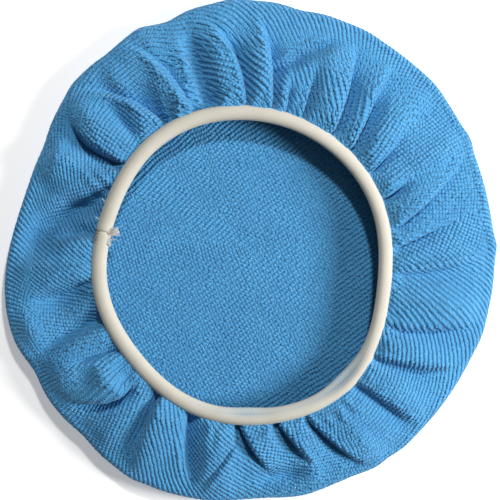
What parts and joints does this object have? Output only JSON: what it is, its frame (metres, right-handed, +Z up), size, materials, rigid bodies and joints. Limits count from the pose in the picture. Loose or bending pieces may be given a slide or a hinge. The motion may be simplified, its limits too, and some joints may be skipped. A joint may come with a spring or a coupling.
{
  "type": "polishing bonnet",
  "caption": "Round microfibre polishing bonnet: flat face, gathered skirt and an elastic-bound mouth that grips a polisher's pad.",
  "frame": {"origin": "middle of the flat working face, on the surface that the bonnet lies on", "axes": "+Z up through the mouth; the tape's lapped joint is towards -X and the mouth's middle lies a little towards -Y"},
  "size_m": [0.251, 0.251, 0.0206],
  "materials": {
    "microfibre": "terry pile in fine rows",
    "elastic_tape": "soft satin, fine cross ribs",
    "elastane": "matt",
    "thread": "twisted thread",
    "tape_yarn": "soft untwisted yarn"
  },
  "bodies": {
    "bonnet_cloth": {"microfibre_cloth": "microfibre"},
    "elastic_hem": {"binding_tape": "elastic_tape", "elastic_strand_1": "elastane", "elastic_strand_2": "elastane", "elastic_strand_3": "elastane", "elastic_strand_4": "elastane", "elastic_strand_5": "elastane", "elastic_strand_6": "elastane", "elastic_strand_7": "elastane", "elastic_strand_8": "elastane", "needle_thread": "thread", "looper_thread": "thread", "joint_tack_thread": "thread", "frayed_tape_yarns": "tape_yarn", "stray_yarn_ends": "tape_yarn"}
  },
  "joints": [
    {"name": "hem_lift", "type": "slide", "parent": "bonnet_cloth", "child": "elastic_hem", "axis": [0, 0, 1], "range_m": [-0.006, 0.012], "stiffness_N_per_m": 80, "deforming": ["microfibre_cloth"]}
  ]
}
